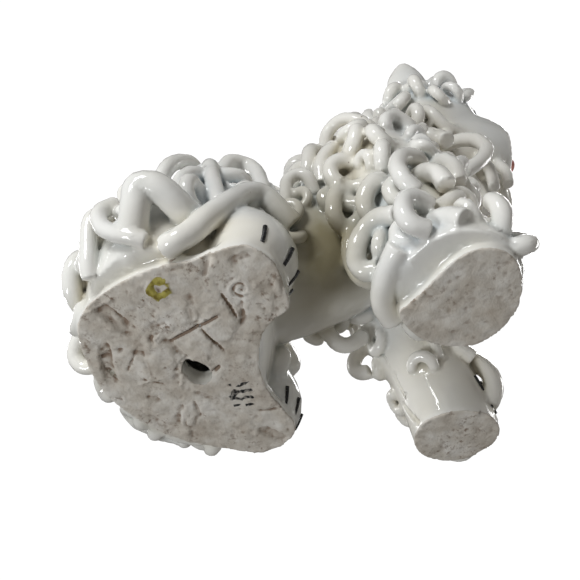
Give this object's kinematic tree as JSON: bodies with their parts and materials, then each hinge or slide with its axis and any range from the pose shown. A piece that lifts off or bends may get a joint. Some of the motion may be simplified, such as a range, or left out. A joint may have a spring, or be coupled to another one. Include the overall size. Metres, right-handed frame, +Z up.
{
  "type": "foo dog statue",
  "caption": "Seated foo dog statue in hollow white-glazed earthenware, with a coat of hand-rolled clay coils, an open mouth and a flat unglazed seat.",
  "frame": {"origin": "on the plane that the seat and the forepaws stand on, under the middle of the statue's bounding box", "axes": "+X to the animal's left, -Y to its front, +Z up"},
  "size_m": [0.2201, 0.3321, 0.3173],
  "materials": {
    "white_glaze": "gloss",
    "bisque": "rough unglazed",
    "black_enamel": "gloss",
    "old_glue": "dull",
    "pink_enamel": "gloss"
  },
  "bodies": {
    "root": {"back_coils": "white_glaze", "beard_coils": "white_glaze", "chest_coils": "white_glaze", "claws_fore_left": "black_enamel", "claws_fore_right": "black_enamel", "claws_hind_left": "black_enamel", "claws_hind_right": "black_enamel", "crown_coils": "white_glaze", "ear_left": "white_glaze", "ear_right": "white_glaze", "eyeball_left": "white_glaze", "eyeball_right": "white_glaze", "fangs": "white_glaze", "foreleg_coils_left": "white_glaze", "foreleg_coils_right": "white_glaze", "foreleg_left": "white_glaze", "foreleg_right": "white_glaze", "forepaw_sole_left": "bisque", "forepaw_sole_right": "bisque", "glue_ring": "old_glue", "haunch_coils_left": "white_glaze", "haunch_coils_right": "white_glaze", "haunch_shell": "white_glaze", "head_shell": "white_glaze", "hind_foot_left": "white_glaze", "hind_foot_right": "white_glaze", "mane_coils_left": "white_glaze", "mane_coils_right": "white_glaze", "muzzle": "white_glaze", "nape_coils": "white_glaze", "neck_shell": "white_glaze", "nose": "black_enamel", "pupil_left": "black_enamel", "pupil_right": "black_enamel", "rump_coils": "white_glaze", "seat_slab": "bisque", "seat_tally": "black_enamel", "tail_coils": "white_glaze", "tail_core": "white_glaze", "teeth_lower": "white_glaze", "teeth_upper": "white_glaze", "tongue": "pink_enamel", "torso_shell": "white_glaze", "whisker_dots": "black_enamel"}
  },
  "joints": []
}
